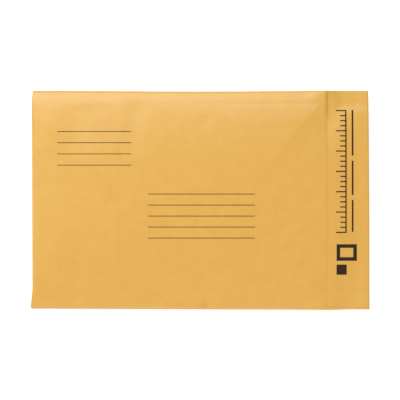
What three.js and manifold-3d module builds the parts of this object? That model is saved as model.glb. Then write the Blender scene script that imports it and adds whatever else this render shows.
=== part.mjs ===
// A padded mailing envelope, empty and unsealed. It lies on its back panel with the address side up
// and the flap open. A kraft sheet is folded once across the bottom of the pocket, sealed along both
// sides, and runs on past the mouth of the pocket as the flap. A folded web of bubble film lines the
// pocket. A strip of adhesive under a release liner crosses the inside of the flap.
// Units are millimetres, +Z is up. +X runs from the bottom fold to the flap's free edge, and +Y to
// the top of the address side. The origin is under the envelope's middle, on the surface it lies on.
import * as THREE from "three";
import { mergeVertices } from "three/addons/utils/BufferGeometryUtils.js";
import Module from "manifold-3d";

const wasm = await Module();
wasm.setup();

// Pocket: its size laid flat, as such envelopes are sold by.
const inch = 25.4;
const insideWidth = 6 * inch;
const insideDepth = 9 * inch;

// Kraft sheet, its side seams and its flap.
const paperThickness = 0.2;
const seamWidth = 9.5;
const seamThickness = 0.8;
const flapLength = 33;

// Bubble lining.
const liningThickness = 3.2;
const liningClearance = 0.3;
const liningSideInset = 4;
const liningMouthInset = 1;

// Free height between the two halves of the lining, along the middle of the pocket.
const gapAtFold = 0.8;
const gapAtCrown = 5.9;
const gapAtMouth = 5.4;
const gapAtPinch = 0.5;

// How the pocket swells: lengths over which the panels rise from the fold, the seams and the mouth.
const crownRun = 110;
const mouthRun = 34;
const backRun = 30;

// Height of the seams' inner line over the table, and how far their outer edges hang below it. They
// level out before the mouth.
const seamHeightAtFold = 4.6;
const seamHeightAtMouth = 7.4;
const seamDroop = 3.1;
const seamLevelRun = 18;

// Flap: the height of its free edge at the middle, and how much lower its corners are. It comes away
// from the panel's crown in a length that is shorter towards its ends. Its lower corner curls up.
const flapEdgeHeight = 10;
const flapEdgeArch = 3.4;
const flapSettle = 25;
const flapEndSettle = 12;
const flapEndZone = 36;
const flapCornerLift = 2;
const flapCornerReach = 24;

// Corners of the bottom fold: one seam's end stands out past the fold, the other is tucked in.
const cornerFlare = 1.5;
const cornerFlareLength = 17;
const cornerTuck = 0.7;
const cornerTuckLength = 7;
const cornerReach = 26;

// Adhesive, on the inside of the flap, and how far its release liner stands out around it.
const adhesiveWidth = 14;
const adhesiveThickness = 0.15;
const adhesiveEndMargin = 5;
const adhesiveFromMouth = 12;
const linerThickness = 0.16;
const linerSideMargin = 2.5;
const linerEndMargin = 3;
const laminateGap = 0.2;

// Print. Each block of ruled lines is placed from the fold and from the top edge of the front.
const inkThickness = 0.1;
const inkLift = 0.2;
const ruleWidth = 0.5;
const returnRules = { name: "return_rule", count: 4, pitch: 8.85, length: 58.3, fromFold: 19.8, fromTop: 31.7 };
const addressRules = { name: "address_rule", count: 5, pitch: 8.65, length: 84, fromFold: 91.4, fromTop: 81 };

// Print on the flap: a plain scale of ticks, dashes beside it, and an open box and a square below.
const scaleFromMouth = 6.9;
const scaleFromTop = 14.7;
const scaleTicks = 25;
const scalePitch = 4;
const scaleTickWidth = 0.9;
const scaleLongTick = 8.4;
const scaleShortTick = 5;
const scaleLongEvery = 4;
const scaleLineWidth = 1;
const dashFromMouth = 19.4;
const dashWidth = 1.3;
const dashLengths = [36, 27, 25];
const dashSpace = 4;
const boxFromMouth = 7.4;
const boxFromTop = 120.5;
const boxWidth = 16;
const boxLength = 13;
const boxLine = 2.8;
const squareSide = 8;
const squareSpace = 3;

// What follows from the sizes above.
const wall = paperThickness + liningClearance + liningThickness;
const panelLength = insideDepth + wall;
const halfInside = insideWidth / 2;
const halfWidth = halfInside + seamWidth;
const overallLength = cornerFlare + panelLength + flapLength;
const foldX = cornerFlare - overallLength / 2;
const mouthX = foldX + panelLength;
const flapX = mouthX + flapLength;
const foldRadius = wall + gapAtFold / 2;

const clamp01 = (t) => Math.min(Math.max(t, 0), 1);
const mix = (a, b, t) => a + (b - a) * t;
const ease = (t) => clamp01(t) ** 2 * (3 - 2 * clamp01(t));
const settle = (t) => 1 - (1 - clamp01(t)) ** 3;
const plump = (t) => 1 - (1 - clamp01(t)) ** 4;

// Thickness of the whole envelope along its middle, at a distance from the fold.
function crownHeight(along) {
  const swell = (gapAtCrown - gapAtFold) * settle(along / crownRun);
  const fall = (gapAtCrown - gapAtMouth) * ease((along - panelLength + mouthRun) / mouthRun);
  return 2 * wall + gapAtFold + swell - fall;
}

// Height of a seam over the table, with the droop of its outer edge.
function seamHeight(along, y) {
  const line = mix(seamHeightAtFold, seamHeightAtMouth, clamp01(along / panelLength));
  const droop = seamDroop * (1 - ease((along - panelLength + seamLevelRun) / seamLevelRun));
  return line - droop * clamp01((Math.abs(y) - halfInside) / seamWidth);
}

// Share of its full rise that a panel has at the fold, where the sheet is bent round.
function foldRise(along) {
  return Math.sqrt(1 - (1 - clamp01(along / foldRadius)) ** 2);
}

// How far the flap's lower corner curls up.
function cornerCurl(x, y) {
  const along = ease((x - flapX + flapCornerReach) / flapCornerReach);
  const across = ease((-y - halfWidth + flapCornerReach) / flapCornerReach);
  return flapCornerLift * along * across;
}

// Outer face of the front panel, and of the flap past the mouth.
function front(x, y, rise = foldRise) {
  const along = Math.min(x - foldX, panelLength);
  const edge = seamHeight(along, y) + seamThickness / 2;
  const crown = crownHeight(along) - seamHeight(along, 0) - seamThickness / 2;
  const panel = edge + crown * rise(along) * plump((halfInside - Math.abs(y)) / halfInside);
  const flap = flapEdgeHeight - flapEdgeArch * (y / halfWidth) ** 2 + cornerCurl(x, y);
  const towardEnd = ease((Math.abs(y) - halfWidth + flapEndZone) / flapEndZone);
  return mix(panel, flap, ease((x - mouthX) / mix(flapSettle, flapEndSettle, towardEnd)));
}

// Outer face of the back panel. It is flat on the table between its rises to the seams.
function back(x, y, rise = foldRise) {
  const along = x - foldX;
  const edge = seamHeight(along, y) - seamThickness / 2;
  return edge * (1 - rise(along) * ease((halfInside - Math.abs(y)) / backRun));
}

// How far the corners of the bottom fold stand out or are tucked in, along X.
function cornerShift(x, y) {
  const reach = 1 - ease((x - foldX) / cornerReach);
  const out = ease((-y - halfWidth + cornerFlareLength) / cornerFlareLength);
  const tuck = ease((y - halfWidth + cornerTuckLength) / cornerTuckLength);
  return reach * (cornerTuck * tuck - cornerFlare * out);
}

// A closed sheet between two height functions: a box with one segment between each two stations,
// its vertices moved to the stations. acrossAt may change the Y stations along X.
function sheet(alongStations, acrossStations, top, bottom, acrossAt = (x, y) => y) {
  const nx = alongStations.length - 1;
  const ny = acrossStations.length - 1;
  const geometry = new THREE.BoxGeometry(1, 1, 1, nx, ny, 1);
  const position = geometry.getAttribute("position");
  for (let i = 0; i < position.count; i++) {
    const column = Math.round((position.getX(i) + 0.5) * nx);
    const row = Math.round((position.getY(i) + 0.5) * ny);
    const x = alongStations[column];
    const y = acrossAt(x, acrossStations[row]);
    const height = position.getZ(i) > 0 ? top(x, y, column) : bottom(x, y, column);
    position.setXYZ(i, x + cornerShift(x, y), y, height);
  }
  return geometry;
}

// A geometry as a solid for cutting and joining, without the faces that shrank to nothing.
function solid(geometry) {
  const bare = geometry.clone();
  bare.deleteAttribute("normal");
  bare.deleteAttribute("uv");
  const merged = mergeVertices(bare, 1e-4);
  const index = merged.index.array;
  const kept = [];
  for (let i = 0; i < index.length; i += 3) {
    const [a, b, c] = [index[i], index[i + 1], index[i + 2]];
    if (a !== b && b !== c && c !== a) kept.push(a, b, c);
  }
  const vertProperties = new Float32Array(merged.getAttribute("position").array);
  return new wasm.Manifold(new wasm.Mesh({ numProp: 3, vertProperties, triVerts: new Uint32Array(kept) }));
}

// A solid back as a geometry.
function geometryOf(made) {
  const mesh = made.getMesh();
  const geometry = new THREE.BufferGeometry();
  geometry.setAttribute("position", new THREE.BufferAttribute(new Float32Array(mesh.vertProperties), 3));
  geometry.setIndex(new THREE.BufferAttribute(new Uint32Array(mesh.triVerts), 1));
  geometry.computeVertexNormals();
  return geometry;
}

// Evenly spaced stations between two places, both ends included.
function spaced(from, to, steps) {
  return Array.from({ length: steps + 1 }, (_, i) => mix(from, to, i / steps));
}

// Stations along X from the fold to the mouth, for a layer that lies inside the sheet's outer face.
const foldSteps = 5;
const panelSteps = 17;
const flapSteps = 8;
function panelStations(offset, end) {
  const bend = spaced(0, Math.PI / 2, foldSteps).map((t) => foldRadius * (1 - Math.cos(t)));
  const rest = spaced(0, 1, panelSteps).slice(1).map((t) => mix(foldRadius, panelLength, t ** 1.35));
  const stations = [...bend, ...rest].map((along) => foldX + offset + along);
  return [...stations.filter((x) => x < end - 1), end];
}

// Stations across Y, closer together near the seams, out to a half width.
const halfSteps = 9;
function crossStations(half) {
  const side = spaced(0, 1, halfSteps).map((t) => half * (1 - (1 - t) ** 1.6));
  return [...side.slice(1).reverse().map((y) => -y), ...side];
}

// How far a cutter runs on past the mouth.
const cutterReach = 0.6;

// A panel's full rise, for the space between the linings, which starts past the bend of the fold.
const flatRise = () => 1;

// The outer faces moved in by an offset, so that layers nest without touching.
const innerTop = (offset, rise) => (x, y) => front(x - offset, y, rise) - offset;
const innerBottom = (offset, rise) => (x, y) => back(x - offset, y, rise) + offset;

// Kraft sheet: front panel with flap, bottom fold and back panel, sealed to each other at the seams.
function kraftEnvelope() {
  const panel = panelStations(0, mouthX);
  const flap = spaced(mouthX, flapX, flapSteps);
  const across = [-halfWidth, ...crossStations(halfInside), halfWidth];
  const underside = (x, y, column) => (column < panel.length ? back(x, y) : front(x, y) - paperThickness);
  const outer = sheet([...panel, ...flap], across, (x, y) => front(x, y), underside);
  const inside = [...panelStations(paperThickness, mouthX), mouthX + cutterReach];
  const ceiling = (x, y) => {
    if (x > mouthX) return front(mouthX, y) - paperThickness - cutterReach;
    return x < mouthX ? innerTop(paperThickness)(x, y) : front(x, y) - paperThickness;
  };
  const floor = (x, y) => innerBottom(paperThickness)(Math.min(x, mouthX), y);
  const hollow = sheet(inside, crossStations(halfInside), ceiling, floor);
  return geometryOf(solid(outer).subtract(solid(hollow)));
}

// Half width of the space between the two halves of the lining, where they come within the pinch.
function pocketHalfWidth(x) {
  const room = (y) => innerTop(wall, flatRise)(x, y) - innerBottom(wall, flatRise)(x, y);
  let open = 0;
  let shut = halfInside;
  for (let i = 0; i < 40; i++) {
    const middle = (open + shut) / 2;
    if (room(middle) > gapAtPinch) open = middle;
    else shut = middle;
  }
  return open;
}

// Bubble lining: one web folded at the bottom and sealed at both sides, open at the mouth.
function bubbleLining() {
  const offset = paperThickness + liningClearance;
  const end = mouthX - liningMouthInset;
  const pad = sheet(
    panelStations(offset, end),
    crossStations(halfInside - liningSideInset),
    innerTop(offset),
    innerBottom(offset),
  );
  const pocket = sheet(
    [...spaced(foldX + wall, mouthX, 14), mouthX + cutterReach],
    spaced(-1, 1, 12),
    (x, y) => innerTop(wall, flatRise)(Math.min(x, mouthX), y),
    (x, y) => innerBottom(wall, flatRise)(Math.min(x, mouthX), y),
    (x, share) => share * pocketHalfWidth(Math.min(x, mouthX)),
  );
  return geometryOf(solid(pad).subtract(solid(pocket)));
}

// Stations of the adhesive, along and across the flap.
const adhesiveX = mouthX + adhesiveFromMouth;
const adhesiveReach = halfWidth - adhesiveEndMargin;
const adhesiveAlong = spaced(adhesiveX, adhesiveX + adhesiveWidth, 4);
const adhesiveAcross = spaced(-adhesiveReach, adhesiveReach, 18);

// A strip on the inside of the flap, at a depth below it.
function underFlap(along, across, depth, thickness) {
  const face = (x, y) => front(x, y) - paperThickness - depth;
  return sheet(along, across, face, (x, y) => face(x, y) - thickness);
}

// Stations with a margin added at each end.
function widened(stations, margin) {
  return [stations[0] - margin, ...stations, stations[stations.length - 1] + margin];
}

function sealAdhesive() {
  return underFlap(adhesiveAlong, adhesiveAcross, laminateGap, adhesiveThickness);
}

function releaseLiner() {
  const along = widened(adhesiveAlong, linerSideMargin);
  const across = widened(adhesiveAcross, linerEndMargin);
  return underFlap(along, across, laminateGap + adhesiveThickness + laminateGap, linerThickness);
}

// A printed field on the outer face of the front, as a thin film of ink.
function ink(fromX, toX, fromY, toY, stepsX = 1, stepsY = 1) {
  const face = (x, y) => front(x, y) + inkLift;
  return sheet(spaced(fromX, toX, stepsX), spaced(fromY, toY, stepsY), (x, y) => face(x, y) + inkThickness, face);
}

// Ruled lines for an address, one field each.
function ruledLines(block) {
  const fromX = foldX + block.fromFold;
  return Array.from({ length: block.count }, (_, i) => {
    const y = halfWidth - block.fromTop - i * block.pitch;
    const field = ink(fromX, fromX + block.length, y - ruleWidth / 2, y + ruleWidth / 2, 10);
    return [`${block.name}_${i + 1}`, field];
  });
}

// Scale of ticks along the flap, joined by the line that they stand on.
function flapScale() {
  const top = halfWidth - scaleFromTop;
  const lineX = mouthX + scaleFromMouth + scaleLongTick;
  const last = top - (scaleTicks - 1) * scalePitch;
  let made = solid(ink(lineX - scaleLineWidth, lineX, last - scaleTickWidth, top, 1, scaleTicks));
  for (let i = 0; i < scaleTicks; i++) {
    const y = top - i * scalePitch;
    const length = i % scaleLongEvery === 0 ? scaleLongTick : scaleShortTick;
    made = made.add(solid(ink(lineX - length, lineX - scaleLineWidth / 2, y - scaleTickWidth, y)));
  }
  return geometryOf(made);
}

// Dashes beside the scale, from the top down.
function flapDashes() {
  let top = halfWidth - scaleFromTop;
  return dashLengths.map((length, i) => {
    const fromX = mouthX + dashFromMouth;
    const field = ink(fromX, fromX + dashWidth, top - length, top, 1, 6);
    top -= length + dashSpace;
    return [`flap_dash_${i + 1}`, field];
  });
}

// Open box below the scale.
function flapBox() {
  const x = mouthX + boxFromMouth;
  const y = halfWidth - boxFromTop;
  const sides = [
    ink(x, x + boxWidth, y - boxLine, y, 4),
    ink(x, x + boxWidth, y - boxLength, y - boxLength + boxLine, 4),
    ink(x, x + boxLine, y - boxLength, y, 1, 4),
    ink(x + boxWidth - boxLine, x + boxWidth, y - boxLength, y, 1, 4),
  ];
  return geometryOf(sides.map(solid).reduce((a, b) => a.add(b)));
}

// Filled square below the open box.
function flapSquare() {
  const x = mouthX + boxFromMouth;
  const y = halfWidth - boxFromTop - boxLength - squareSpace;
  return ink(x, x + squareSide, y - squareSide, y, 2, 2);
}

const kraft = new THREE.MeshStandardMaterial({ name: "kraft", color: "#e3ac58", roughness: 0.62 });
const film = new THREE.MeshStandardMaterial({ name: "bubble_film", color: "#e9eef0", roughness: 0.3 });
const glue = new THREE.MeshStandardMaterial({ name: "adhesive", color: "#e8dfc2", roughness: 0.4 });
const liner = new THREE.MeshStandardMaterial({ name: "release_liner", color: "#f3f1ea", roughness: 0.35 });
const black = new THREE.MeshStandardMaterial({ name: "print", color: "#2b2119", roughness: 0.55 });

const pieces = [
  ["kraft_envelope", kraftEnvelope(), kraft],
  ["bubble_lining", bubbleLining(), film],
  ["seal_adhesive", sealAdhesive(), glue],
  ["release_liner", releaseLiner(), liner],
  ...[...ruledLines(returnRules), ...ruledLines(addressRules)].map((named) => [...named, black]),
  ["flap_scale", flapScale(), black],
  ...flapDashes().map((named) => [...named, black]),
  ["flap_box", flapBox(), black],
  ["flap_square", flapSquare(), black],
];

const envelope = new THREE.Group();
envelope.name = "padded_envelope";
for (const [name, geometry, material] of pieces) {
  const mesh = new THREE.Mesh(geometry, material);
  mesh.name = name;
  envelope.add(mesh);
}

export default envelope;
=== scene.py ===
"""Dresses the padded envelope: its folded kraft sheet, bubble lining, adhesive strip and print.

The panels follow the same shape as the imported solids. Lengths are in metres, +Z is up, +X runs
from the bottom fold to the flap's free edge and +Y to the top of the address side.
"""

import math

import bmesh
import bpy
from bpy.props import FloatProperty, FloatVectorProperty, IntProperty, PointerProperty
from mathutils import Matrix, Vector, noise

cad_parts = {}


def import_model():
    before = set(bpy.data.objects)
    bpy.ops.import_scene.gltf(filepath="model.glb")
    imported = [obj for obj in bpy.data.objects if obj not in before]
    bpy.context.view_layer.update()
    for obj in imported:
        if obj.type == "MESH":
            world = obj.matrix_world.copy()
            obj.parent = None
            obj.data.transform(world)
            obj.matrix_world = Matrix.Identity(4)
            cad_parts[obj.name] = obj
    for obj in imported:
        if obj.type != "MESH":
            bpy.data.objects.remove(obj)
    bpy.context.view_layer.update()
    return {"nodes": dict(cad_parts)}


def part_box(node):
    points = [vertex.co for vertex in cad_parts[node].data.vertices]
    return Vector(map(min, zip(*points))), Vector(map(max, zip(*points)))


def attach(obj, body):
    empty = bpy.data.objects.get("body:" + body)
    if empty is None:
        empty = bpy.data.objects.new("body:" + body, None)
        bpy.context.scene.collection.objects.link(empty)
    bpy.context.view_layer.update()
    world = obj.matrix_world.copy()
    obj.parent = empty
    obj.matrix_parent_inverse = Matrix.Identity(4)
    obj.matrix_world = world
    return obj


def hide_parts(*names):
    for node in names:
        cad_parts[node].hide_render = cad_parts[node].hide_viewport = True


bl_info = {
    "name": "Padded Envelope",
    "version": (1, 0, 0),
    "blender": (4, 5, 0),
    "location": "3D View > Sidebar > Envelope",
    "description": "Builds a kraft envelope lined with bubble film around its packed solids",
    "category": "Mesh",
}

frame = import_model()

MM = 0.001

# The layer on the sheet that holds painted shade: how much its paper is darkened in the crease
# along the mouth and along the lower edge.
SHADE_LAYER = "crease"

# Places read from the solids. HALF_WIDTH reaches from the middle to the long edges.
sheet_low, sheet_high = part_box("kraft_envelope")
HALF_WIDTH = sheet_high.y
FLAP_X = sheet_high.x
LINING_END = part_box("bubble_lining")[1].x


def length(name, description, default, **options):
    """A length that a user may change."""
    return FloatProperty(
        name=name, description=description, default=default, unit="LENGTH", precision=5, **options
    )


def colour(name, description, default):
    """A linear colour that a user may change."""
    return FloatVectorProperty(
        name=name, description=description, default=default, subtype="COLOR", size=3, min=0, max=1
    )


def power(name, description, default):
    """A light's power that a user may change."""
    return FloatProperty(name=name, description=description, default=default, min=0, unit="POWER")


class EnvelopeShape(bpy.types.PropertyGroup):
    """How the empty envelope lies, with the names and values of its solids."""

    seam_width: length("Seam width", "Width of the heat seal along each side", 9.5 * MM)
    seam_thickness: length("Seam thickness", "Both papers and the film, sealed", 0.8 * MM)
    paper: length("Paper", "Thickness of the kraft sheet", 0.2 * MM)
    wall: length("Wall", "Paper and lining together, for one panel", 3.7 * MM)
    flare: length("Corner flare", "How far one corner stands out past the fold", 1.5 * MM)
    flare_run: length("Flare run", "Length of the seam that the flare takes", 17 * MM)
    tuck: length("Corner tuck", "How far the other corner is tucked in", 0.7 * MM)
    tuck_run: length("Tuck run", "Length of the edge that the tuck takes", 7 * MM)
    corner_reach: length("Corner reach", "Length over which the corners' shift fades", 26 * MM)
    gap_fold: length("Gap at the fold", "Free height in the pocket at its bottom", 0.8 * MM)
    gap_crown: length("Gap at the crown", "Free height in the pocket at its fullest", 5.9 * MM)
    gap_mouth: length("Gap at the mouth", "Free height in the pocket at its mouth", 5.4 * MM)
    crown_run: length("Crown run", "Length over which the pocket fills out", 110 * MM)
    mouth_run: length("Mouth run", "Length over which it sinks to the mouth", 34 * MM)
    back_run: length("Back run", "Width over which the back rises to a seam", 30 * MM)
    seam_low: length("Seam height at the fold", "Height of the seams over the table", 4.6 * MM)
    seam_high: length("Seam height at the mouth", "Height of the seams over the table", 7.4 * MM)
    seam_droop: length("Seam droop", "How far a seam's outer edge hangs below it", 3.1 * MM)
    seam_level_run: length("Seam level run", "Length over which a seam levels out", 18 * MM)
    flap_edge: length("Flap edge", "Height of the flap's free edge at its middle", 10 * MM)
    flap_arch: length("Flap arch", "How much lower the corners of the flap are", 3.4 * MM)
    flap_settle: length("Flap settle", "Length in which the flap leaves the crown", 25 * MM)
    flap_end_settle: length("Flap end settle", "The same length at the ends of the flap", 12 * MM)
    flap_end_zone: length("Flap end zone", "How far in from each end that length grows", 36 * MM)
    flap_lift: length("Flap corner lift", "How far the flap's lower corner curls up", 2 * MM)
    flap_reach: length("Flap corner reach", "Size of the corner that curls up", 24 * MM)
    flap_length: length("Flap length", "From the mouth to the flap's free edge", 33 * MM)


class EnvelopeWear(bpy.types.PropertyGroup):
    """What handling and the bubbles beneath have done to the paper."""

    wave: length("Wave", "Height of the broad waves in the panels", 0.4 * MM)
    wave_size: length("Wave size", "Distance between broad waves", 46 * MM)
    ripple: length("Ripple", "Height of the small ripples", 0.07 * MM)
    ripple_size: length("Ripple size", "Distance between small ripples", 13 * MM)
    bubble_print: length("Bubble print", "How far the bubbles show through the paper", 0.035 * MM)
    crease: length("Mouth crease", "Depth of the crease along the mouth, at the seams", 0.3 * MM)
    crease_width: length("Mouth crease width", "Half the width of that crease", 1.5 * MM)
    panel_valley: length("Panel valley", "How far the panel sinks to that crease", 0.9 * MM)
    valley_run: length("Panel valley run", "Length over which it sinks", 13 * MM)
    crease_line: length("Crease lines", "Depth of the fine lines beside the mouth", 0.12 * MM)
    seam_line: length("Seam line", "Depth of the dent along a seam's inner line", 0.28 * MM)
    flap_roll: length("Flap roll", "How far the flap's upper end rolls down", 1.5 * MM)
    seam_bow: length("Seam bow", "How far the seams bow up between their edges", 0.8 * MM)
    slack: length("Slack", "How far the front hangs beside the seams", 1.75 * MM)
    mouth_sag: length("Mouth sag", "How far the front has sunk past its slanting fold", 2.0 * MM)
    mouth_sag_run: length("Mouth sag run", "Length over which it sinks", 26 * MM)
    bend: length("Bend", "Depth of the soft bend beside the sender's lines", 0.45 * MM)
    bend_width: length("Bend width", "Half the width of that bend", 13 * MM)
    edge_curl: length("Edge curl", "How far the low end of the flap's edge turns up", 1.0 * MM)
    lean: length("Lean", "How far each end of the sheet is out of square", 0.35 * MM)
    upper_out: length("Upper out", "How far the upper edge stands out at its ends", 0.62 * MM)
    bow: length("Bow", "How far the upper edge bows in from there", 0.58 * MM)
    skew: length("Skew", "How far the lower edge stands out at the mouth", 0.78 * MM)


class EnvelopeLining(bpy.types.PropertyGroup):
    """The bubble film."""

    clearance: length("Clearance", "Between the bubbles and the paper", 0.3 * MM)
    film: length("Film", "Thickness of the flat film", 0.07 * MM)
    bubble: length("Bubble", "Diameter of a bubble", 9.6 * MM)
    pitch: length("Pitch", "Distance between bubbles", 10.8 * MM)
    pinch: length("Pinch", "Free height left where the two halves meet", 0.3 * MM)
    bubble_sides: IntProperty(
        name="Bubble sides", description="Sides of a bubble", default=12, min=6
    )


class EnvelopeColours(bpy.types.PropertyGroup):
    """Finishes."""

    kraft: colour("Kraft", "Golden kraft paper", (0.688, 0.353, 0.058))
    kraft_light: colour("Light fibres", "Lighter fibres and cloudy patches", (0.738, 0.406, 0.078))
    kraft_dark: colour("Dark fibres", "Darker fibres", (0.605, 0.286, 0.040))
    # Painted shade that darkens the crease along the mouth and the lower edge.
    kraft_shade: colour("Shaded crease", "Paper rubbed dark in a crease", (0.46, 0.172, 0.014))
    film: colour("Film", "Bubble film", (0.86, 0.89, 0.91))
    glue: colour("Adhesive", "Hot-melt adhesive", (0.80, 0.71, 0.50))
    liner: colour("Release liner", "Silicone-coated paper", (0.86, 0.84, 0.79))
    ink: colour("Ink", "Very dark brown ink", (0.021, 0.0095, 0.0045))
    floor: colour("Floor", "Pale floor", (0.95, 0.95, 0.95))


class EnvelopeStage(bpy.types.PropertyGroup):
    """Floor, lights and camera."""

    view_width: length("View width", "Width of the picture at the envelope", 316.6 * MM)
    view_x: length("View centre X", "Where the camera points", 0.33 * MM)
    view_y: length("View centre Y", "Where the camera points", 0.04 * MM)
    camera_height: length("Camera height", "Height of the camera", 1.8)
    sky: FloatProperty(name="Sky", description="Strength of the even light", default=0.5, min=0)
    key: power("Key", "Power of the softbox", 16.6)
    fill: power("Fill", "Power of the fill light", 10.0)
    side: power("Side", "Power of the side light", 1.9)


class EnvelopeSettings(bpy.types.PropertyGroup):
    """All settings of the envelope."""

    shape: PointerProperty(type=EnvelopeShape)
    wear: PointerProperty(type=EnvelopeWear)
    lining: PointerProperty(type=EnvelopeLining)
    colours: PointerProperty(type=EnvelopeColours)
    stage: PointerProperty(type=EnvelopeStage)


def clamp01(t):
    return min(max(t, 0.0), 1.0)


def mix(a, b, t):
    return a + (b - a) * t


def ease(t):
    t = clamp01(t)
    return t * t * (3 - 2 * t)


def settle(t):
    return 1 - (1 - clamp01(t)) ** 3


def plump(t):
    return 1 - (1 - clamp01(t)) ** 4


def after(place, start, run):
    """0 up to a start, then a soft rise to 1 over a run."""
    return ease((place - start) / run)


def towards(place, end, run):
    """0 until a run short of an end, then a soft rise to 1 at it."""
    return ease((place - end + run) / run)


def before(place, end, run):
    """1 until a run short of an end, then a soft fall to 0 at it."""
    return ease((end - place) / run)


def groove(away, half_width):
    """A soft groove, from 1 on its line to 0 at its sides."""
    return (1 - clamp01(abs(away) / half_width)) ** 2


# Dents in the front: where each lies, how deep it is and how far it reaches, in millimetres.
DENTS = (
    (4, -79, 0.30, 8),
    (9, -42, 0.14, 12),
    (4, 62, 0.22, 8),
    (79, 22, 0.16, 7),
    (84, -12, 0.14, 6),
    (-98, 4, 0.12, 6),
    (-66, 62, 0.16, 10),
    (48, -30, 0.12, 14),
    (-30, -50, 0.10, 12),
)

# The soft bend: its ends on the front, in millimetres.
BEND_START = Vector((-49, 77))
BEND_END = Vector((-60, 8))


class Panels:
    """The faces of the folded sheet: the solids' shape, with the wear of the paper on top."""

    def __init__(self, settings):
        s = settings.shape
        self.shape = s
        self.wear = settings.wear
        self.lining = settings.lining
        self.mouth_x = FLAP_X - s.flap_length
        self.fold_x = sheet_low.x + s.flare
        self.panel_length = self.mouth_x - self.fold_x
        self.half_inside = HALF_WIDTH - s.seam_width
        self.fold_radius = s.wall + s.gap_fold / 2

    def inside(self, y, run):
        """1 inside the pocket, falling to 0 over a run up to the seams."""
        return before(abs(y), self.half_inside, run)

    def across_seam(self, y):
        """0 up to a seam's inner line, rising to 1 at its outer edge."""
        return clamp01((abs(y) - self.half_inside) / self.shape.seam_width)

    # The plain shape.

    def crown_height(self, along):
        s = self.shape
        swell = (s.gap_crown - s.gap_fold) * settle(along / s.crown_run)
        sink = (s.gap_crown - s.gap_mouth) * towards(along, self.panel_length, s.mouth_run)
        return 2 * s.wall + s.gap_fold + swell - sink

    def seam_height(self, along, y):
        s = self.shape
        line = mix(s.seam_low, s.seam_high, clamp01(along / self.panel_length))
        level = towards(along, self.panel_length, s.seam_level_run)
        return line - s.seam_droop * (1 - level) * self.across_seam(y)

    def fold_rise(self, along):
        return math.sqrt(1 - (1 - clamp01(along / self.fold_radius)) ** 2)

    def plain_front(self, x, y):
        """Height of the front panel's outer face, and of the flap's past the mouth."""
        s = self.shape
        along = min(x - self.fold_x, self.panel_length)
        edge = self.seam_height(along, y) + s.seam_thickness / 2
        crown = self.crown_height(along) - self.seam_height(along, 0) - s.seam_thickness / 2
        inward = plump((self.half_inside - abs(y)) / self.half_inside)
        panel = edge + crown * self.fold_rise(along) * inward
        curl = towards(x, FLAP_X, s.flap_reach) * towards(-y, HALF_WIDTH, s.flap_reach)
        flap = s.flap_edge - s.flap_arch * (y / HALF_WIDTH) ** 2 + s.flap_lift * curl
        toward_end = towards(abs(y), HALF_WIDTH, s.flap_end_zone)
        settle_run = mix(s.flap_settle, s.flap_end_settle, toward_end)
        return mix(panel, flap, after(x, self.mouth_x, settle_run))

    def plain_back(self, x, y):
        """Height of the back panel's outer face."""
        s = self.shape
        along = x - self.fold_x
        edge = self.seam_height(along, y) - s.seam_thickness / 2
        return edge * (1 - self.fold_rise(along) * self.inside(y, s.back_run))

    # The outline.

    def corner_shift(self, x, y):
        """How far the sheet's ends are out of line, along X: most at the fold's corners."""
        s = self.shape
        reach = 1 - after(x, self.fold_x, s.corner_reach)
        out = towards(-y, HALF_WIDTH, s.flare_run)
        tuck = towards(y, HALF_WIDTH, s.tuck_run)
        return reach * (s.tuck * tuck - s.flare * out) - self.wear.lean * y / HALF_WIDTH

    # Past the mouth, the lower edge comes half of the way back into line.
    skew_back = 0.5
    skew_back_run = 26 * MM

    def edge_shift(self, x, y):
        """How far the long edges are out of line, along Y: nothing inside the seams."""
        w = self.wear
        share = clamp01((x - self.fold_x) / (FLAP_X - self.fold_x))
        upper = w.upper_out - w.bow * math.sin(math.pi * share) ** 2
        to_mouth = clamp01((x - self.fold_x) / self.panel_length)
        lower = w.skew * (to_mouth - self.skew_back * after(x, self.mouth_x, self.skew_back_run))
        return self.across_seam(y) * (upper if y > 0 else -lower)

    # The wear on both panels.

    held_width = 14 * MM
    held_length = 16 * MM

    def free(self, x, y):
        """How free the paper is to move: not at all at the seams and the fold that hold it."""
        return self.inside(y, self.held_width) * after(x, self.fold_x, self.held_length)

    def bubble_pattern(self, x, y):
        """The bubbles' packing as a smooth wave from -1/2 to 1."""
        turn = 4 * math.pi / (math.sqrt(3) * self.lining.pitch)
        waves = (0, math.pi / 3, -math.pi / 3)
        return sum(math.cos(turn * (x * math.cos(a) + y * math.sin(a))) for a in waves) / 3

    # Offsets that keep the panels, the ripples and the patches from sharing one noise.
    side_seed = 3.7
    ripple_seed = 5
    patch_seed = 9

    # The bubbles show in patches, and stay this far off the seams and the mouth.
    patch_size = 60 * MM
    patch_contrast = 1.5
    print_off_seams = 6 * MM
    print_off_mouth = 5 * MM

    # How much of the ripples is left where the paper is held.
    held_ripple = 0.35

    def worn(self, x, y, side):
        """How far the worn paper stands off its plain shape. side tells the two panels apart."""
        w = self.wear
        seed = self.side_seed * side
        broad = noise.noise(Vector((x / w.wave_size + seed, y / w.wave_size, seed)))
        small = Vector((x / w.ripple_size, y / w.ripple_size + seed, seed + self.ripple_seed))
        patch = Vector((x / self.patch_size, y / self.patch_size, seed + self.patch_seed))
        patches = clamp01(0.5 + self.patch_contrast * noise.noise(patch))
        patches *= self.inside(y, self.print_off_seams)
        patches *= before(x, self.mouth_x, self.print_off_mouth)
        free = self.free(x, y)
        height = w.wave * broad * free
        height += w.ripple * noise.noise(small) * mix(self.held_ripple, 1, free)
        height += w.bubble_print * self.bubble_pattern(x, y) * patches
        return height + self.seam_bow(x, y)

    seam_bow_level_run = 20 * MM

    def seam_bow(self, x, y):
        """The seams bend down more towards their free edge, but lie level at the mouth."""
        across = self.across_seam(y)
        level = before(x, self.mouth_x, self.seam_bow_level_run)
        return self.wear.seam_bow * across * (1 - across) * level

    # The wear on the front.

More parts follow.
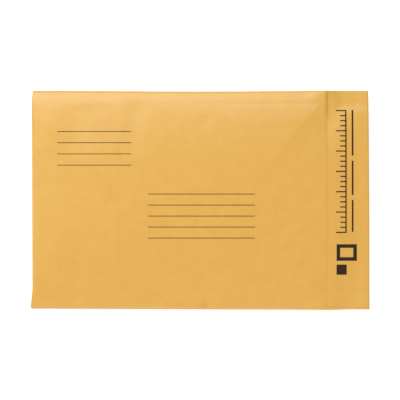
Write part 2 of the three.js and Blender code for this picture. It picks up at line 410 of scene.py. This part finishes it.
    # The crease's line lies just past the mouth, and its groove is wider on the flap's side. It is
    # shallower in the middle of the mouth, and towards its lower end.
    crease_past = 0.2 * MM
    crease_flap_side = 3.6
    crease_middle = 0.25
    crease_middle_end = 0.3 * HALF_WIDTH
    crease_middle_run = 0.5 * HALF_WIDTH
    crease_low = 0.55
    crease_low_y = -62 * MM
    crease_low_run = 50 * MM

    # How far the panel's sinking runs on into the flap, for each millimetre on the panel.
    valley_flap_side = 1.7

    # The fine lines: how far they lie from the mouth, and how much of them is left low down.
    line_places = (1.9 * MM, 4.1 * MM)
    line_half_width = 0.7 * MM
    line_low = 0.3

    def mouth_crease(self, x, y):
        """The crease along the mouth, where the flap has been folded over and opened again.

        It is deepest by the seams, and fine lines run beside it on the panel."""
        w = self.wear
        past = x - self.mouth_x
        toward_seam = after(abs(y), self.crease_middle_end, self.crease_middle_run)
        up = after(y, self.crease_low_y, self.crease_low_run)
        share = mix(self.crease_middle, 1, toward_seam) * mix(self.crease_low, 1, up)
        past_line = past - self.crease_past
        width = w.crease_width * (1 if past_line < 0 else self.crease_flap_side)
        depth = w.crease * share * groove(past_line, width)
        valley = (1 - clamp01(-past / w.valley_run)) ** 2
        valley *= 1 - ease(past / (self.valley_flap_side * w.valley_run))
        depth += w.panel_valley * share * self.inside(y, self.held_width) * valley
        lines = sum(groove(past + place, self.line_half_width) for place in self.line_places)
        up = after(y, -HALF_WIDTH / 2, HALF_WIDTH)
        return depth + w.crease_line * lines * mix(self.line_low, 1, up)

    # Painted shade in the crease: how dark it is at its lower end, and what is added above that
    # and by the top seam, each with its start and its run along the crease.
    shade_low = 0.1
    shade_rises = (
        (0.12, -58 * MM, 40 * MM),
        (0.78, 0.72 * HALF_WIDTH, 0.125 * HALF_WIDTH),
    )

    # Across the crease: the shares of the painted shade in its line and in the band around it, and
    # half the width of each.
    shade_bands = ((0.62, 1.6 * MM), (0.38, 5 * MM))

    def crease_shade(self, x, y):
        """How much shade is painted into the crease: most by the top seam, and in its very line.
        """
        tone = self.shade_low
        tone += sum(dark * after(y, start, run) for dark, start, run in self.shade_rises)
        away = x - self.mouth_x - self.crease_past
        return tone * sum(share * groove(away, width) for share, width in self.shade_bands)

    # Painted shade along the lower cut edge, and a wider dark patch on that edge: how dark, how
    # wide and how soft each is.
    cut_tone = 0.22
    cut_width = 1.6 * MM
    cut_run = 1.2 * MM
    dark_patch_tone = 0.26
    dark_patch_width = 6 * MM
    dark_patch_run = 5 * MM
    dark_patch_x = 3 * MM
    dark_patch_half_length = 12 * MM

    def edge_tone(self, x, y):
        """How dark the lower edge is: painted shade on its cut, and a wider dark patch mid-way."""
        cut = after(-y, HALF_WIDTH - self.cut_width, self.cut_run)
        dark_patch = after(-y, HALF_WIDTH - self.dark_patch_width, self.dark_patch_run)
        dark_patch *= groove(x - self.dark_patch_x, self.dark_patch_half_length)
        return self.cut_tone * cut + self.dark_patch_tone * dark_patch

    # The seams' dents: how much of them there is near the fold, where they grow plain, how they
    # come and go on the way, and where they end.
    dent_low = 0.2
    dent_plain_x = -14 * MM
    dent_plain_run = 24 * MM
    dent_mean = 0.85
    dent_change = 0.5
    dent_change_size = 50 * MM
    dent_seeds = (4.2, 8.6, 0.5)
    dent_mouth_run = 6 * MM
    dent_fold_run = 10 * MM
    dent_inward = 0.3 * MM
    dent_half_width = 1.9 * MM

    def seam_line(self, x, y):
        """The dent along the seam's inner line, which is plain only on the mouth's half."""
        upper, lower, seed = self.dent_seeds
        place = Vector((x / self.dent_change_size, upper if y > 0 else lower, seed))
        along = mix(self.dent_low, 1, after(x, self.dent_plain_x, self.dent_plain_run))
        along *= self.dent_mean + self.dent_change * noise.noise(place)
        along *= before(x, self.mouth_x, self.dent_mouth_run)
        along *= after(x, self.fold_x, self.dent_fold_run)
        away = abs(y) - self.half_inside + self.dent_inward
        return self.wear.seam_line * along * groove(away, self.dent_half_width)

    # Past the mouth the flap's end rolls down over a run, and loses a part of that at its edge.
    roll_start = 1.5 * MM
    roll_run = 12 * MM
    roll_loss = 0.35
    roll_y = 0.78 * HALF_WIDTH
    roll_width = 0.12 * HALF_WIDTH

    def flap_roll(self, x, y):
        """The flap's upper end rolls down where the seam would run on, then lies level."""
        past = after(x, self.mouth_x + self.roll_start, self.roll_run)
        past *= 1 - self.roll_loss * towards(x, FLAP_X, self.roll_run)
        return self.wear.flap_roll * past * after(y, self.roll_y, self.roll_width)

    def dents(self, x, y):
        """Small soft dents in the front."""
        depth = 0.0
        for place_x, place_y, deep, reach in DENTS:
            away = math.hypot(x / MM - place_x, y / MM - place_y) / reach
            if away < 1:
                depth += deep * MM * (1 - away * away) ** 2
        return depth

    # Shares of the bend's length: how soft its start is, and where and over what it fades.
    bend_soft_start = 1 / 12
    bend_fade = 0.45
    bend_fade_run = 0.75

    def soft_bend(self, x, y):
        """A soft valley beside the sender's lines, deepest near the top."""
        w = self.wear
        axis = BEND_END - BEND_START
        place = Vector((x / MM, y / MM)) - BEND_START
        along = place.dot(axis) / axis.length_squared
        across = clamp01(abs(place.cross(axis.normalized())) * MM / w.bend_width)
        share = after(along, -self.bend_soft_start, 2 * self.bend_soft_start)
        share *= 1 - after(along, self.bend_fade, self.bend_fade_run)
        return w.bend * share * (1 - across * across) ** 2

    # The slack sets in past the fold, ends at the mouth, and is less by the mouth.
    slack_start = 11 * MM
    slack_start_run = 28 * MM
    slack_end_run = 16 * MM
    slack_loss = 0.75

    # Brings the greatest height of the slack's curve to 1.
    slack_scale = 9.5

    def slack(self, x, y):
        """The front swells less towards the seams than a full pocket does, mostly by the fold."""
        inward = clamp01((self.half_inside - abs(y)) / self.half_inside)
        curve = self.slack_scale * inward * (1 - inward) ** 3
        share = 1 - self.slack_loss * ease((x - self.fold_x) / self.panel_length)
        share *= after(x, self.fold_x + self.slack_start, self.slack_start_run)
        share *= before(x, self.mouth_x, self.slack_end_run)
        return self.wear.slack * share * curve

    # The slanting fold starts this far short of the mouth, at the upper seam. The next two are how
    # fast a place gets past it along the panel and down across it.
    slant_start = 4 * MM
    slant_along = 0.75
    slant_down = 0.66

    # The sunk area: how much of its depth is left low down, and how it starts and ends.
    sag_low = 0.25
    sag_low_y = 14 * MM
    sag_low_run = 52 * MM
    sag_upper_run = 3 * MM
    sag_lower_run = 30 * MM
    sag_start_x = 20 * MM
    sag_start_run = 36 * MM
    sag_end_run = 16 * MM

    def mouth_sag(self, x, y):
        """The front has sunk past a slanting fold that runs down from the upper seam's end."""
        w = self.wear
        past_fold = self.slant_along * (x - self.mouth_x + self.slant_start)
        past_fold += self.slant_down * (self.half_inside - y)
        share = settle(past_fold / w.mouth_sag_run)
        share *= mix(self.sag_low, 1, after(y, self.sag_low_y, self.sag_low_run))
        share *= before(y, self.half_inside, self.sag_upper_run)
        share *= after(y, -self.half_inside, self.sag_lower_run)
        share *= after(x, self.sag_start_x, self.sag_start_run)
        share *= 1 - after(x, self.mouth_x, self.sag_end_run)
        return w.mouth_sag * share

    edge_curl_width = 12 * MM
    edge_curl_start = 36 * MM
    edge_curl_run = 26 * MM

    def edge_curl(self, x, y):
        """The flap's free edge turns up along its lower part."""
        edge = towards(x, FLAP_X, self.edge_curl_width)
        return self.wear.edge_curl * edge * after(-y, self.edge_curl_start, self.edge_curl_run)

    # The worn faces, and the room between them.

    def front(self, x, y):
        worn = self.worn(x, y, 1) - self.seam_line(x, y) - self.flap_roll(x, y)
        worn += self.edge_curl(x, y) - self.mouth_sag(x, y) - self.slack(x, y)
        worn -= self.dents(x, y) + self.soft_bend(x, y)
        return self.plain_front(x, y) + worn - self.mouth_crease(x, y)

    def back(self, x, y):
        """The back lies on the table, so its wear only lifts it."""
        return self.plain_back(x, y) + max(0.0, self.worn(x, y, 2)) * self.free(x, y)

    # The most of the room that the free height takes, where the pocket is thin.
    most_free = 0.4

    def lining_depth(self, x, y):
        """How far the inner film lies from the paper's outer face, on either side."""
        s = self.shape
        room = self.front(x, y) - self.back(x, y) - 2 * s.paper
        pinch = min(self.lining.pinch, room * self.most_free)
        return s.paper + min(s.wall - s.paper, (room - pinch) / 2)


def new_object(name, bm, materials):
    """A finished piece from a bmesh. Its place is in its mesh."""
    mesh = bpy.data.meshes.new(name)
    for face in bm.faces:
        face.smooth = True
    bm.to_mesh(mesh)
    bm.free()
    piece = bpy.data.objects.new(name, mesh)
    bpy.context.scene.collection.objects.link(piece)
    for material in materials:
        mesh.materials.append(material)
    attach(piece, "root")
    return piece


def grid(bm, columns, rows):
    """A flat grid of faces. Returns its vertices with their column and row."""
    made = bmesh.ops.create_grid(bm, x_segments=columns, y_segments=rows, size=1)
    return [
        (v, round((v.co.x + 1) / 2 * columns), round((v.co.y + 1) / 2 * rows))
        for v in made["verts"]
    ]


def thicken(piece, thickness, offset=-1.0):
    """Gives a sheet its thickness, inwards from its outer face."""
    modifier = piece.modifiers.new("thickness", "SOLIDIFY")
    modifier.thickness = thickness
    modifier.offset = offset
    modifier.use_rim = True
    return modifier


def spaced(start, end, steps):
    """Evenly spaced places, both ends included."""
    return [mix(start, end, i / steps) for i in range(steps + 1)]


def nodes_of(name):
    """A new material with its node tree and its surface shader."""
    material = bpy.data.materials.new(name)
    material.use_nodes = True
    tree = material.node_tree
    return material, tree, tree.nodes["Principled BSDF"]


def pattern(tree, scale, detail=3, stretch=(1, 1, 1)):
    """Noise on Object coordinates. scale is in features for each metre."""
    place = tree.nodes.new("ShaderNodeTexCoord")
    mapping = tree.nodes.new("ShaderNodeMapping")
    mapping.inputs["Scale"].default_value = stretch
    texture = tree.nodes.new("ShaderNodeTexNoise")
    texture.inputs["Scale"].default_value = scale
    texture.inputs["Detail"].default_value = detail
    texture.inputs["Roughness"].default_value = 0.55
    tree.links.new(place.outputs["Object"], mapping.inputs["Vector"])
    tree.links.new(mapping.outputs["Vector"], texture.inputs["Vector"])
    return texture.outputs["Fac"]


def remap(tree, value, low, high, most):
    """Turns a range of a pattern into a share, from 0 up to the most."""
    node = tree.nodes.new("ShaderNodeMapRange")
    node.inputs["From Min"].default_value = low
    node.inputs["From Max"].default_value = high
    node.inputs["To Min"].default_value = 0
    node.inputs["To Max"].default_value = most
    tree.links.new(value, node.inputs["Value"])
    return node.outputs["Result"]


def blend(tree, factor, first, second):
    """Mixes two colours, each a colour value or another node's output."""
    node = tree.nodes.new("ShaderNodeMix")
    node.data_type = "RGBA"
    tree.links.new(factor, node.inputs["Factor"])
    for name, value in (("A", first), ("B", second)):
        socket = next(s for s in node.inputs if s.name == name and s.type == "RGBA")
        if isinstance(value, bpy.types.NodeSocket):
            tree.links.new(value, socket)
        else:
            socket.default_value = (*value, 1)
    return next(s for s in node.outputs if s.type == "RGBA")


def relief(tree, shader, height, distance, strength):
    """Bump from a pattern, its depth in metres."""
    node = tree.nodes.new("ShaderNodeBump")
    node.inputs["Distance"].default_value = distance
    node.inputs["Strength"].default_value = strength
    tree.links.new(height, node.inputs["Height"])
    tree.links.new(node.outputs["Normal"], shader.inputs["Normal"])


def kraft_paper(colours, inside=False):
    """Calendered kraft: cloudy patches, fibres both ways, dark flecks and a low, broad sheen."""
    material, tree, shader = nodes_of("kraft_inside" if inside else "kraft")
    clouds = pattern(tree, 90, detail=4)
    along = pattern(tree, 1100, stretch=(0.22, 1, 1))
    across = pattern(tree, 1000, stretch=(1, 0.3, 1))
    flecks = pattern(tree, 1500, detail=2, stretch=(0.35, 1, 1))
    # The shade layer paints shade into the crease and along the lower edge.
    shaded = tree.nodes.new("ShaderNodeAttribute")
    shaded.attribute_name = SHADE_LAYER
    tone = colours.kraft
    for share, paint in (
        (remap(tree, clouds, 0.3, 0.72, most=0.55), colours.kraft_light),
        (remap(tree, along, 0.5, 0.85, most=0.4), colours.kraft_dark),
        (remap(tree, across, 0.52, 0.85, most=0.35), colours.kraft_light),
        (remap(tree, flecks, 0.68, 0.74, most=0.45), colours.kraft_dark),
        (remap(tree, shaded.outputs["Fac"], 0, 1, most=0.8), colours.kraft_shade),
    ):
        tone = blend(tree, share, tone, paint)
    tree.links.new(tone, shader.inputs["Base Color"])
    shader.inputs["Roughness"].default_value = 0.66 if inside else 0.4
    shader.inputs["Specular IOR Level"].default_value = 0.4 if inside else 0.55
    relief(tree, shader, along, distance=0.02 * MM, strength=0.6)
    return material


def bubble_film(colours):
    """Clear polyethylene, milky where it is doubled."""
    material, tree, shader = nodes_of("bubble_film")
    shader.inputs["Base Color"].default_value = (*colours.film, 1)
    shader.inputs["Roughness"].default_value = 0.2
    shader.inputs["Alpha"].default_value = 0.62
    relief(tree, shader, pattern(tree, 240), distance=0.15 * MM, strength=0.5)
    return material


def hot_melt(colours):
    """Adhesive, tacky and a little lumpy."""
    material, tree, shader = nodes_of("adhesive")
    shader.inputs["Base Color"].default_value = (*colours.glue, 1)
    shader.inputs["Roughness"].default_value = 0.3
    relief(tree, shader, pattern(tree, 500), distance=0.1 * MM, strength=0.6)
    return material


def release_paper(colours):
    """Silicone-coated paper."""
    material, tree, shader = nodes_of("release_liner")
    fibres = pattern(tree, 900, stretch=(1, 0.4, 1))
    shade = blend(tree, remap(tree, fibres, 0.3, 0.8, most=0.3), colours.liner, colours.glue)
    tree.links.new(shade, shader.inputs["Base Color"])
    shader.inputs["Roughness"].default_value = 0.34
    relief(tree, shader, fibres, distance=0.01 * MM, strength=0.5)
    return material


def printing_ink(colours):
    """Matt ink that lets the paper's fibres break it up a little."""
    material, tree, shader = nodes_of("print")
    grain = pattern(tree, 2200)
    shade = blend(tree, remap(tree, grain, 0.5, 0.8, most=0.16), colours.ink, colours.kraft_dark)
    tree.links.new(shade, shader.inputs["Base Color"])
    shader.inputs["Roughness"].default_value = 0.7
    shader.inputs["Specular IOR Level"].default_value = 0.22
    return material


class ENVELOPE_OT_kraft_sheet(bpy.types.Operator):
    """Fold the kraft sheet: flap, front panel, bottom fold and back panel in one piece"""

    bl_idname = "envelope.kraft_sheet"
    bl_label = "Kraft sheet"

    front_steps = 168
    crease_steps = 8
    crease_reach = 3.2 * MM
    flap_steps = 24
    bend_steps = 8
    back_steps = 92
    seam_steps = 6
    inside_steps = 112

    # Round the fold's edge: shares of the height, from -1 at the back to 1 at the front.
    fold_shares = (0.5, 0.0, -0.5)

    def profile(self, panels):
        """Stations from the flap's free edge over the front, round the fold and along the back."""
        radius = panels.fold_radius
        start = panels.fold_x + radius
        bend = [
            panels.fold_x + radius * (1 - math.cos(t))
            for t in spaced(math.pi / 2, 0, self.bend_steps)
        ]
        crease = panels.mouth_x + self.crease_reach
        flap = spaced(FLAP_X, crease, self.flap_steps)[:-1]
        flap += spaced(crease, panels.mouth_x, self.crease_steps)
        front = spaced(panels.mouth_x, start, self.front_steps)[1:-1]
        back = spaced(start, panels.mouth_x, self.back_steps)[1:]
        rows = [(x, 1.0) for x in [*flap, *front, *bend]]
        rows += [(panels.fold_x, share) for share in self.fold_shares]
        return rows + [(x, -1.0) for x in [*reversed(bend), *back]]

    def paint_shade(self, bm, panels):
        """Marks the painted shade in the front's crease and lower edge, for the paper's colour."""
        bm.normal_update()
        shaded = bm.verts.layers.float.new(SHADE_LAYER)
        for vertex in bm.verts:
            if vertex.normal.z > 0:
                x, y = vertex.co.x, vertex.co.y
                vertex[shaded] = panels.crease_shade(x, y) + panels.edge_tone(x, y)

    def execute(self, context):
        settings = context.scene.envelope
        panels = Panels(settings)
        rows = self.profile(panels)
        inside = spaced(-panels.half_inside, panels.half_inside, self.inside_steps)
        seam = spaced(panels.half_inside, HALF_WIDTH, self.seam_steps)[1:]
        across = [*[-y for y in reversed(seam)], *inside, *seam]
        bm = bmesh.new()
        for vertex, i, j in grid(bm, len(rows) - 1, len(across) - 1):
            x, share = rows[i]
            y = across[j]
            top = panels.front(x, y) if share > -1 else 0.0
            low = panels.back(x, y) if share < 1 else 0.0
            x -= (1 - share * share) * settings.shape.seam_thickness / 2
            place = (x + panels.corner_shift(x, y), y + panels.edge_shift(x, y))
            vertex.co = (*place, mix(low, top, (share + 1) / 2))
        bmesh.ops.recalc_face_normals(bm, faces=bm.faces)
        highest = max(bm.faces, key=lambda f: f.calc_center_median().z)
        if highest.normal.z < 0:
            bmesh.ops.reverse_faces(bm, faces=bm.faces)
        self.paint_shade(bm, panels)
        colours = settings.colours
        materials = [kraft_paper(colours), kraft_paper(colours, inside=True)]
        piece = new_object("kraft_sheet", bm, materials)
        thicken(piece, settings.shape.paper).material_offset = 1
        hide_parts("kraft_envelope")
        return {"FINISHED"}


class ENVELOPE_OT_bubble_lining(bpy.types.Operator):
    """Line the pocket with bubble film, its bubbles against the paper"""

    bl_idname = "envelope.bubble_lining"
    bl_label = "Bubble lining"

    along_steps = 110
    across_steps = 64
    bend_steps = 4
    edge_gap = 0.5 * MM
    bubble_rings = 3

    # Bubbles aren't laid where there is less room for them than this. A lower power rises faster.
    least_height = 0.9 * MM
    bubble_power = 0.7

    def film_height(self, panels, x, y, side):
        """Height of the flat film, on the front's side (1) or the back's (-1)."""
        depth = panels.lining_depth(x, y)
        return panels.front(x, y) - depth if side > 0 else panels.back(x, y) + depth

    def lay_film(self, bm, panels, start):
        """The flat film, from the mouth along the front, round the fold and back."""
        bend = spaced(math.pi / 2, -math.pi / 2, 2 * self.bend_steps)
        rows = [(x, 1.0) for x in spaced(LINING_END, start, self.along_steps)[:-1]]
        rows += [(start, math.sin(t)) for t in bend]
        rows += [(x, -1.0) for x in spaced(start, LINING_END, self.along_steps)[1:]]
        reach = HALF_WIDTH - self.edge_gap
        across = spaced(-reach, reach, self.across_steps)
        for vertex, i, j in grid(bm, len(rows) - 1, len(across) - 1):
            x, share = rows[i]
            y = across[j]
            high = self.film_height(panels, x, y, 1)
            low = self.film_height(panels, x, y, -1)
            bulge = (high - low) / 2 * math.sqrt(max(0.0, 1 - share * share))
            vertex.co = (x - bulge + panels.corner_shift(x, y), y, mix(low, high, (share + 1) / 2))

    def bubble_shape(self, sides):
        """Half a sphere as a closed form: a cone cut into rings, each widened to the sphere.

        Its faces come out in one order on every run, which those of a UV sphere don't.
        """
        bm = bmesh.new()
        bmesh.ops.create_cone(
            bm, cap_ends=True, segments=sides, radius1=1, radius2=0, depth=1,
            matrix=Matrix.Translation((0, 0, 0.5)),
        )
        for ring in range(1, self.bubble_rings):
            angle = math.pi / 2 * ring / self.bubble_rings
            cut = bmesh.ops.bisect_plane(
                bm, geom=[*bm.verts, *bm.edges, *bm.faces], plane_co=(0, 0, math.sin(angle)),
                plane_no=(0, 0, 1), dist=1e-5,
            )
            corners = [v for v in cut["geom_cut"] if isinstance(v, bmesh.types.BMVert)]
            widen = math.cos(angle) / corners[0].co.xy.length
            bmesh.ops.scale(bm, verts=corners, vec=(widen, widen, 1))
        bmesh.ops.recalc_face_normals(bm, faces=bm.faces)
        mesh = bpy.data.meshes.new("bubble_shape")
        bm.to_mesh(mesh)
        bm.free()
        return mesh

    def centres(self, panels, start, settings):
        """Bubbles in staggered rows, from the mouth to the fold."""
        pitch = settings.lining.pitch
        row_pitch = pitch * math.sqrt(3) / 2
        radius = settings.lining.bubble / 2
        reach = panels.half_inside - radius
        count = int(reach / pitch) + 1
        for row in range(int((LINING_END - start) / row_pitch) + 1):
            x = LINING_END - radius - row * row_pitch
            for i in range(-count, count + 1):
                y = (i + 0.5 * (row % 2)) * pitch
                if abs(y) <= reach and x > start + radius:
                    yield x, y

    def lay_bubbles(self, bm, panels, start, settings):
        shape = self.bubble_shape(settings.lining.bubble_sides)
        radius = settings.lining.bubble / 2
        skin = settings.shape.paper + settings.lining.clearance
        for x, y in self.centres(panels, start, settings):
            if panels.lining_depth(x, y) - skin < self.least_height:
                continue
            for side in (1, -1):
                first = len(bm.verts)
                bm.from_mesh(shape)
                bm.verts.ensure_lookup_table()
                for vertex in bm.verts[first:]:
                    px = x + vertex.co.x * radius
                    py = y + vertex.co.y * radius
                    room = max(0.0, panels.lining_depth(px, py) - skin)
                    rise = room * max(vertex.co.z, 0.0) ** self.bubble_power
                    base = self.film_height(panels, px, py, side)
                    vertex.co = (px + panels.corner_shift(px, py), py, base + side * rise)
        bpy.data.meshes.remove(shape)

    def execute(self, context):
        settings = context.scene.envelope
        panels = Panels(settings)
        start = panels.fold_x + settings.shape.wall
        bm = bmesh.new()
        self.lay_film(bm, panels, start)
        film = new_object("lining_film", bm, [bubble_film(settings.colours)])
        thicken(film, settings.lining.film, offset=0)
        bm = bmesh.new()
        self.lay_bubbles(bm, panels, start, settings)
        # The back's bubbles are mirrored, so their faces have to be turned outwards.
        bm.normal_update()
        bmesh.ops.recalc_face_normals(bm, faces=bm.faces)
        bubbles = new_object("lining_bubbles", bm, [film.data.materials[0]])
        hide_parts("bubble_lining")
        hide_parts("bubble_lining")
        return {"FINISHED"}


class ENVELOPE_OT_flap_closure(bpy.types.Operator):
    """Lay the adhesive and its release liner on the inside of the flap"""

    bl_idname = "envelope.flap_closure"
    bl_label = "Flap closure"

    columns = 12
    rows = 120
    glue_depth = 0.03 * MM
    glue_thickness = 0.3 * MM
    liner_depth = 0.36 * MM
    liner_thickness = 0.16 * MM

    def strip(self, settings, node, name, depth, thickness, material, slot):
        """A strip that lies at a depth under the flap's inner face."""
        panels = Panels(settings)
        low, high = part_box(node)
        bm = bmesh.new()
        for vertex, i, j in grid(bm, self.columns, self.rows):
            x = mix(low.x, high.x, i / self.columns)
            y = mix(low.y, high.y, j / self.rows)
            height = panels.front(x, y) - settings.shape.paper - depth
            vertex.co = (x, y + panels.edge_shift(x, y), height)
        piece = new_object(name, bm, [material])
        thicken(piece, thickness)
        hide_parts(node)

    def execute(self, context):
        settings = context.scene.envelope
        glue = hot_melt(settings.colours)
        liner = release_paper(settings.colours)
        self.strip(
            settings, "seal_adhesive", "adhesive_strip", self.glue_depth, self.glue_thickness,
            glue, "adhesive",
        )
        self.strip(
            settings, "release_liner", "liner_strip", self.liner_depth, self.liner_thickness,
            liner, "release_liner",
        )
        return {"FINISHED"}


INK_STEP = 1.4 * MM
INK_HEIGHT = 0.07 * MM
INK_THICKNESS = 0.03 * MM


def printed(bm, panels, low_x, high_x, low_y, high_y):
    """A field of ink that lies on the worn paper."""
    columns = max(1, math.ceil((high_x - low_x) / INK_STEP))
    rows = max(1, math.ceil((high_y - low_y) / INK_STEP))
    for vertex, i, j in grid(bm, columns, rows):
        x = mix(low_x, high_x, i / columns)
        y = mix(low_y, high_y, j / rows)
        vertex.co = (x, y, panels.front(x, y) + INK_HEIGHT)


def finish_print(name, bm, material, node):
    """Turns fields of ink into a piece that stands for a node."""
    bmesh.ops.recalc_face_normals(bm, faces=bm.faces)
    if next(iter(bm.faces)).normal.z < 0:
        bmesh.ops.reverse_faces(bm, faces=bm.faces)
    piece = new_object(name, bm, [material])
    thicken(piece, INK_THICKNESS)
    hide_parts(node)


def print_field(panels, material, node):
    """One plain field of ink, as large as its node."""
    low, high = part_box(node)
    bm = bmesh.new()
    printed(bm, panels, low.x, high.x, low.y, high.y)
    finish_print(node + "_ink", bm, material, node)


class ENVELOPE_OT_ruled_lines(bpy.types.Operator):
    """Print the ruled lines for the sender and the address"""

    bl_idname = "envelope.ruled_lines"
    bl_label = "Ruled lines"

    def execute(self, context):
        settings = context.scene.envelope
        panels = Panels(settings)
        ink = printing_ink(settings.colours)
        for node in sorted(frame["nodes"]):
            if "_rule_" in node:
                print_field(panels, ink, node)
        return {"FINISHED"}


class ENVELOPE_OT_flap_marks(bpy.types.Operator):
    """Print the plain marks on the flap: a scale, dashes, an open box and a square"""

    bl_idname = "envelope.flap_marks"
    bl_label = "Flap marks"

    tick_pitch = 4 * MM
    tick_width = 0.9 * MM
    short_tick = 5 * MM
    long_every = 4
    line_width = 1 * MM  # the line that the ticks stand on
    box_line = 2.8 * MM

    def scale(self, panels, ink):
        low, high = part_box("flap_scale")
        bm = bmesh.new()
        printed(bm, panels, high.x - self.line_width, high.x, low.y, high.y)
        count = round((high.y - low.y - self.tick_width) / self.tick_pitch) + 1
        for i in range(count):
            top = high.y - i * self.tick_pitch
            start = low.x if i % self.long_every == 0 else high.x - self.short_tick
            printed(bm, panels, start, high.x - self.line_width, top - self.tick_width, top)
        finish_print("flap_scale_ink", bm, ink, "flap_scale")

    def open_box(self, panels, ink):
        low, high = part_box("flap_box")
        line = self.box_line
        bm = bmesh.new()
        printed(bm, panels, low.x, high.x, high.y - line, high.y)
        printed(bm, panels, low.x, high.x, low.y, low.y + line)
        printed(bm, panels, low.x, low.x + line, low.y + line, high.y - line)
        printed(bm, panels, high.x - line, high.x, low.y + line, high.y - line)
        finish_print("flap_box_ink", bm, ink, "flap_box")

    def execute(self, context):
        settings = context.scene.envelope
        panels = Panels(settings)
        ink = printing_ink(settings.colours)
        self.scale(panels, ink)
        self.open_box(panels, ink)
        for node in ("flap_dash_1", "flap_dash_2", "flap_dash_3", "flap_square"):
            print_field(panels, ink, node)
        return {"FINISHED"}


class ENVELOPE_OT_stage(bpy.types.Operator):
    """Set the floor, the lights and a camera straight above"""

    bl_idname = "envelope.stage"
    bl_label = "Stage"

    floor_size = 3.0
    floor_drop = 0.05 * MM
    floor_glow = 0.35
    sensor_width = 36

    def floor(self, colours):
        bm = bmesh.new()
        bmesh.ops.create_grid(bm, x_segments=1, y_segments=1, size=self.floor_size)
        bmesh.ops.translate(bm, verts=bm.verts, vec=(0, 0, -self.floor_drop))
        mesh = bpy.data.meshes.new("floor")
        bm.to_mesh(mesh)
        bm.free()
        floor = bpy.data.objects.new("floor", mesh)
        bpy.context.scene.collection.objects.link(floor)
        material, _, shader = nodes_of("floor")
        shader.inputs["Base Color"].default_value = (*colours.floor, 1)
        shader.inputs["Roughness"].default_value = 0.9
        shader.inputs["Emission Color"].default_value = (1, 1, 1, 1)
        shader.inputs["Emission Strength"].default_value = self.floor_glow
        mesh.materials.append(material)

    def softbox(self, name, energy, width, depth, place, tint=(1, 1, 1)):
        """A soft rectangular light that faces the envelope."""
        light = bpy.data.lights.new(name, "AREA")
        light.shape = "RECTANGLE"
        light.size = width
        light.size_y = depth
        light.energy = energy
        light.color = tint
        lamp = bpy.data.objects.new(name, light)
        lamp.location = place
        lamp.rotation_euler = (-Vector(place)).to_track_quat("-Z", "Y").to_euler()
        bpy.context.scene.collection.objects.link(lamp)

    def camera(self, stage):
        data = bpy.data.cameras.new("camera")
        data.sensor_width = self.sensor_width
        data.lens = data.sensor_width * stage.camera_height / stage.view_width
        camera = bpy.data.objects.new("camera", data)
        camera.location = (stage.view_x, stage.view_y, stage.camera_height)
        bpy.context.scene.collection.objects.link(camera)
        bpy.context.scene.camera = camera

    def execute(self, context):
        settings = context.scene.envelope
        stage = settings.stage
        self.floor(settings.colours)
        self.softbox(
            "key", stage.key, width=1.3, depth=0.5, place=(-0.42, 0.9, 1.12), tint=(0.9, 1, 1)
        )
        self.softbox("fill", stage.fill, width=1.2, depth=0.5, place=(0.2, -1.4, 0.5))
        self.softbox("side", stage.side, width=0.2, depth=1.2, place=(-0.9, 0, 1.0))
        world = bpy.data.worlds.new("studio")
        world.use_nodes = True
        background = world.node_tree.nodes["Background"]
        background.inputs["Color"].default_value = (1, 1, 1, 1)
        background.inputs["Strength"].default_value = stage.sky
        context.scene.world = world
        context.scene.view_settings.view_transform = "Standard"
        self.camera(stage)
        return {"FINISHED"}


class ENVELOPE_PT_sidebar(bpy.types.Panel):
    """Lists the envelope's pieces"""

    bl_idname = "ENVELOPE_PT_sidebar"
    bl_label = "Padded Envelope"
    bl_space_type = "VIEW_3D"
    bl_region_type = "UI"
    bl_category = "Envelope"

    def draw(self, context):
        settings = context.scene.envelope
        for operator in OPERATORS:
            self.layout.operator(operator.bl_idname)
        for group in (
            settings.shape, settings.wear, settings.lining, settings.colours, settings.stage
        ):
            box = self.layout.box()
            for name in group.__annotations__:
                box.prop(group, name)


OPERATORS = (
    ENVELOPE_OT_kraft_sheet,
    ENVELOPE_OT_bubble_lining,
    ENVELOPE_OT_flap_closure,
    ENVELOPE_OT_ruled_lines,
    ENVELOPE_OT_flap_marks,
    ENVELOPE_OT_stage,
)

CLASSES = (
    EnvelopeShape,
    EnvelopeWear,
    EnvelopeLining,
    EnvelopeColours,
    EnvelopeStage,
    EnvelopeSettings,
    *OPERATORS,
    ENVELOPE_PT_sidebar,
)


def register():
    for cls in CLASSES:
        bpy.utils.register_class(cls)
    bpy.types.Scene.envelope = PointerProperty(type=EnvelopeSettings)


def unregister():
    del bpy.types.Scene.envelope
    for cls in reversed(CLASSES):
        bpy.utils.unregister_class(cls)


def main():
    register()
    bpy.ops.envelope.kraft_sheet()
    bpy.ops.envelope.bubble_lining()
    bpy.ops.envelope.flap_closure()
    bpy.ops.envelope.ruled_lines()
    bpy.ops.envelope.flap_marks()
    bpy.ops.envelope.stage()


if __name__ == "__main__":
    main()
